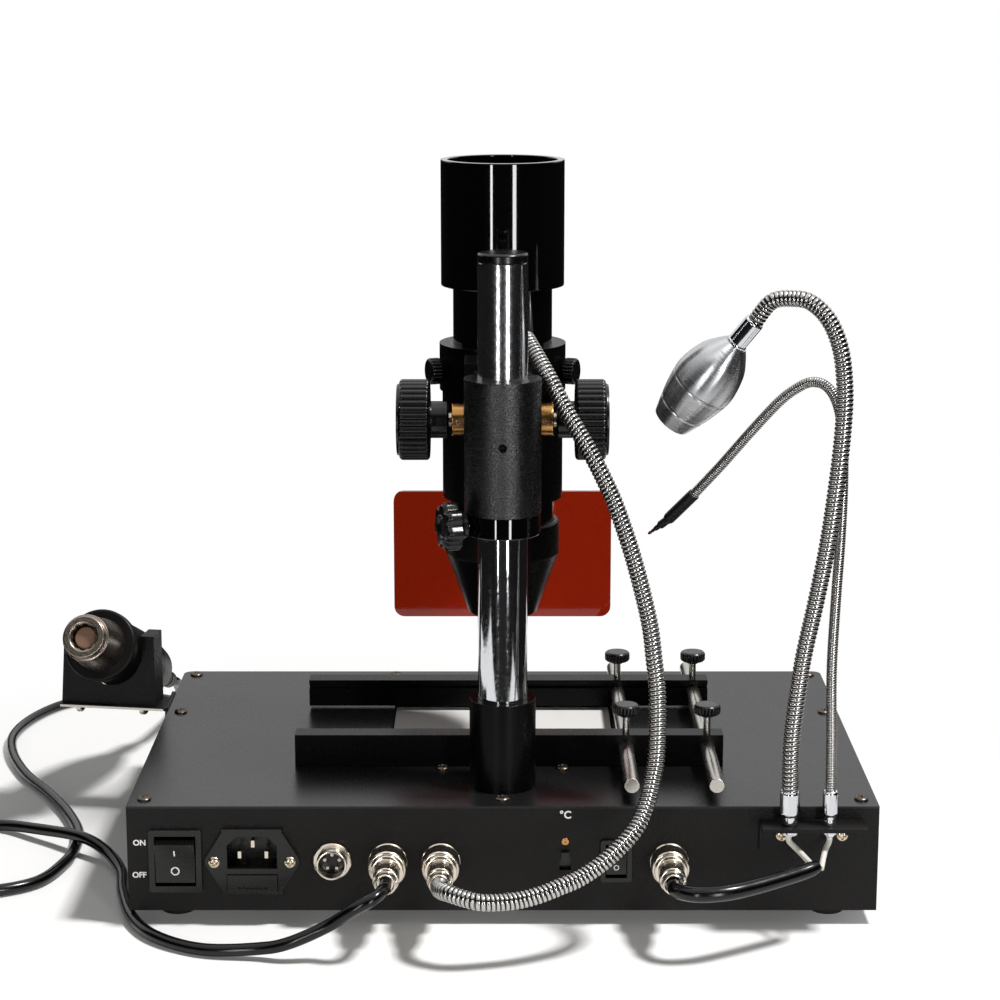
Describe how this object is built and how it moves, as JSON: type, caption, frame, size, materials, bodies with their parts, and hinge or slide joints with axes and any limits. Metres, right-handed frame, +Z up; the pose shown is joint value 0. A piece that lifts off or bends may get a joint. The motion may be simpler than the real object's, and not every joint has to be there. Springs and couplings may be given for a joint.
{
  "type": "infrared rework station",
  "caption": "Benchtop infrared rework station: heated base with board rails, lamp head on a chrome column, gooseneck light and probe, and a hot-air handle in a side cradle.",
  "frame": {"origin": "on the bench under the middle of the base, with the lamp's axis straight above it", "axes": "+X right when the socket panel faces the viewer, +Y away from the viewer, +Z up"},
  "size_m": [0.5421, 0.4683, 0.388],
  "materials": {
    "black_coat": "matte black powder coat",
    "cover_coat": "matte dark grey powder coat",
    "grain_coat": "grained black coat",
    "gloss_black": "gloss black",
    "anodised": "black anodised",
    "chrome": "polished",
    "steel": "brushed",
    "nickel": "nickel plated",
    "brass": "turned",
    "light_metal": "brushed",
    "black_plastic": "moulded",
    "dark_plastic": "moulded",
    "rubber": "matte",
    "cord_rubber": "glossy",
    "plate_metal": "bright",
    "tray_metal": "plain",
    "ceramic": "unglazed",
    "board": "solder mask",
    "window": "tinted",
    "bulb": "frosted",
    "shield": "translucent dark red"
  },
  "bodies": {
    "base": {"base_tray": "black_coat", "top_cover": "cover_coat", "cover_screws": "steel", "rubber_feet": "rubber", "heating_plate": "plate_metal", "heater_tray": "tray_metal", "heater_bars": "ceramic", "control_board": "board", "display_windows": "window", "switch_housings": "dark_plastic", "inlet_body": "dark_plastic", "inlet_blades": "nickel", "socket_shells": "nickel", "socket_inserts": "black_plastic", "cable_plugs": "nickel", "panel_screws": "steel", "neck_bracket": "black_coat", "near_rail": "anodised", "guide_rods": "steel", "foot_collar": "black_coat", "column": "chrome", "column_cap": "black_plastic", "tool_cradle": "black_coat", "tool_cord": "cord_rubber", "lamp_hose": "chrome", "sensor_cable": "cord_rubber"},
    "dial_left": {"dial_left": "black_plastic"},
    "dial_middle": {"dial_middle": "black_plastic"},
    "dial_right": {"dial_right": "black_plastic"},
    "power_rocker": {"power_rocker": "dark_plastic"},
    "light_rocker": {"light_rocker": "dark_plastic"},
    "unit_slider": {"unit_slider": "dark_plastic"},
    "fuse_drawer": {"fuse_drawer": "dark_plastic"},
    "near_screw_left": {"near_screw_left": "black_plastic"},
    "near_screw_right": {"near_screw_right": "black_plastic"},
    "far_screw_left": {"far_screw_left": "black_plastic"},
    "far_screw_right": {"far_screw_right": "black_plastic"},
    "clamp_knob": {"clamp_knob": "black_plastic"},
    "ring_screw_left": {"ring_screw_left": "black_plastic"},
    "ring_screw_right": {"ring_screw_right": "black_plastic"},
    "far_carriage": {"far_rail": "anodised"},
    "stop": {"stop_ring": "gloss_black"},
    "arm": {"column_sleeve": "grain_coat", "focus_block": "gloss_black", "shaft_bushes": "brass"},
    "focus_drive": {"pinion_shaft": "steel", "focus_knobs": "black_plastic"},
    "lamp": {"rack_slide": "steel", "lamp_ring": "gloss_black", "lamp_barrel": "gloss_black", "heat_shroud": "gloss_black", "lamp_hood": "gloss_black", "infrared_bulb": "bulb", "eye_shield": "shield", "shield_bracket": "anodised"},
    "light_arm": {"light_neck": "chrome", "light_head": "light_metal"},
    "probe_arm": {"probe_neck": "chrome"},
    "tool": {"tool_handle": "black_plastic", "tool_nozzle": "steel"}
  },
  "joints": [
    {"name": "dial_left_turn", "type": "hinge", "parent": "base", "child": "dial_left", "pos_m": [-0.1, 0.125, 0.025], "axis": [0, 1, 0], "range_deg": [-140, 140]},
    {"name": "dial_middle_turn", "type": "hinge", "parent": "base", "child": "dial_middle", "pos_m": [0, 0.125, 0.025], "axis": [0, 1, 0], "range_deg": [-140, 140]},
    {"name": "dial_right_turn", "type": "hinge", "parent": "base", "child": "dial_right", "pos_m": [0.1, 0.125, 0.025], "axis": [0, 1, 0], "range_deg": [-140, 140]},
    {"name": "power_rocker_tilt", "type": "hinge", "parent": "base", "child": "power_rocker", "pos_m": [-0.17, -0.123, 0.0355], "axis": [1, 0, 0], "range_deg": [-20, 0]},
    {"name": "light_rocker_tilt", "type": "hinge", "parent": "base", "child": "light_rocker", "pos_m": [0.059, -0.123, 0.0355], "axis": [1, 0, 0], "range_deg": [-20, 0]},
    {"name": "unit_slider_move", "type": "slide", "parent": "base", "child": "unit_slider", "axis": [0, 0, 1], "range_m": [-0.005, 0]},
    {"name": "fuse_drawer_pull", "type": "slide", "parent": "base", "child": "fuse_drawer", "axis": [0, -1, 0], "range_m": [0, 0.013]},
    {"name": "near_screw_left_turn", "type": "hinge", "parent": "base", "child": "near_screw_left", "pos_m": [0.067, -0.054, 0.09], "axis": [0, 0, 1], "range_deg": [-180, 180]},
    {"name": "near_screw_right_turn", "type": "hinge", "parent": "base", "child": "near_screw_right", "pos_m": [0.111, -0.054, 0.09], "axis": [0, 0, 1], "range_deg": [-180, 180]},
    {"name": "far_rail_slide", "type": "slide", "parent": "base", "child": "far_carriage", "axis": [0, 1, 0], "range_m": [-0.08, 0.035]},
    {"name": "far_screw_left_turn", "type": "hinge", "parent": "far_carriage", "child": "far_screw_left", "pos_m": [0.067, 0.051, 0.09], "axis": [0, 0, 1], "range_deg": [-180, 180]},
    {"name": "far_screw_right_turn", "type": "hinge", "parent": "far_carriage", "child": "far_screw_right", "pos_m": [0.111, 0.051, 0.09], "axis": [0, 0, 1], "range_deg": [-180, 180]},
    {"name": "head_height", "type": "slide", "parent": "base", "child": "stop", "axis": [0, 0, 1], "range_m": [-0.014, 0.05], "deforming": ["lamp_hose"]},
    {"name": "clamp_knob_turn", "type": "hinge", "parent": "stop", "child": "clamp_knob", "pos_m": [0, -0.089, 0.2075], "axis": [-0.9397, -0.342, 0], "range_deg": [-180, 180]},
    {"name": "head_swivel", "type": "hinge", "parent": "stop", "child": "arm", "pos_m": [0, -0.089, 0.25], "axis": [0, 0, 1], "range_deg": [-10, 40], "deforming": ["lamp_hose"]},
    {"name": "focus", "type": "slide", "parent": "arm", "child": "lamp", "axis": [0, 0, 1], "range_m": [-0.007, 0.012], "deforming": ["lamp_hose"]},
    {"name": "focus_knob_turn", "type": "hinge", "parent": "arm", "child": "focus_drive", "pos_m": [0, -0.05, 0.2545], "axis": [1, 0, 0], "range_deg": [-67, 115]},
    {"name": "ring_screw_left_turn", "type": "hinge", "parent": "lamp", "child": "ring_screw_left", "pos_m": [0, 0, 0.2745], "axis": [-0.9397, -0.342, 0], "range_deg": [-180, 180]},
    {"name": "ring_screw_right_turn", "type": "hinge", "parent": "lamp", "child": "ring_screw_right", "pos_m": [0, 0, 0.2745], "axis": [0.9397, -0.342, 0], "range_deg": [-180, 180]},
    {"name": "light_neck_turn", "type": "hinge", "parent": "base", "child": "light_arm", "pos_m": [0.1475, -0.133, 0.058], "axis": [0, 0, 1], "range_deg": [-25, 0]},
    {"name": "probe_neck_turn", "type": "hinge", "parent": "base", "child": "probe_arm", "pos_m": [0.1683, -0.133, 0.058], "axis": [0, 0, 1], "range_deg": [-10, 12]},
    {"name": "tool_lift", "type": "slide", "parent": "base", "child": "tool", "axis": [0, 0, 1], "range_m": [0, 0.06], "deforming": ["tool_cord"]}
  ],
  "couplings": [
    {"joint": "focus_knob_turn", "follows": "focus", "rad_per_m": 166.67}
  ]
}
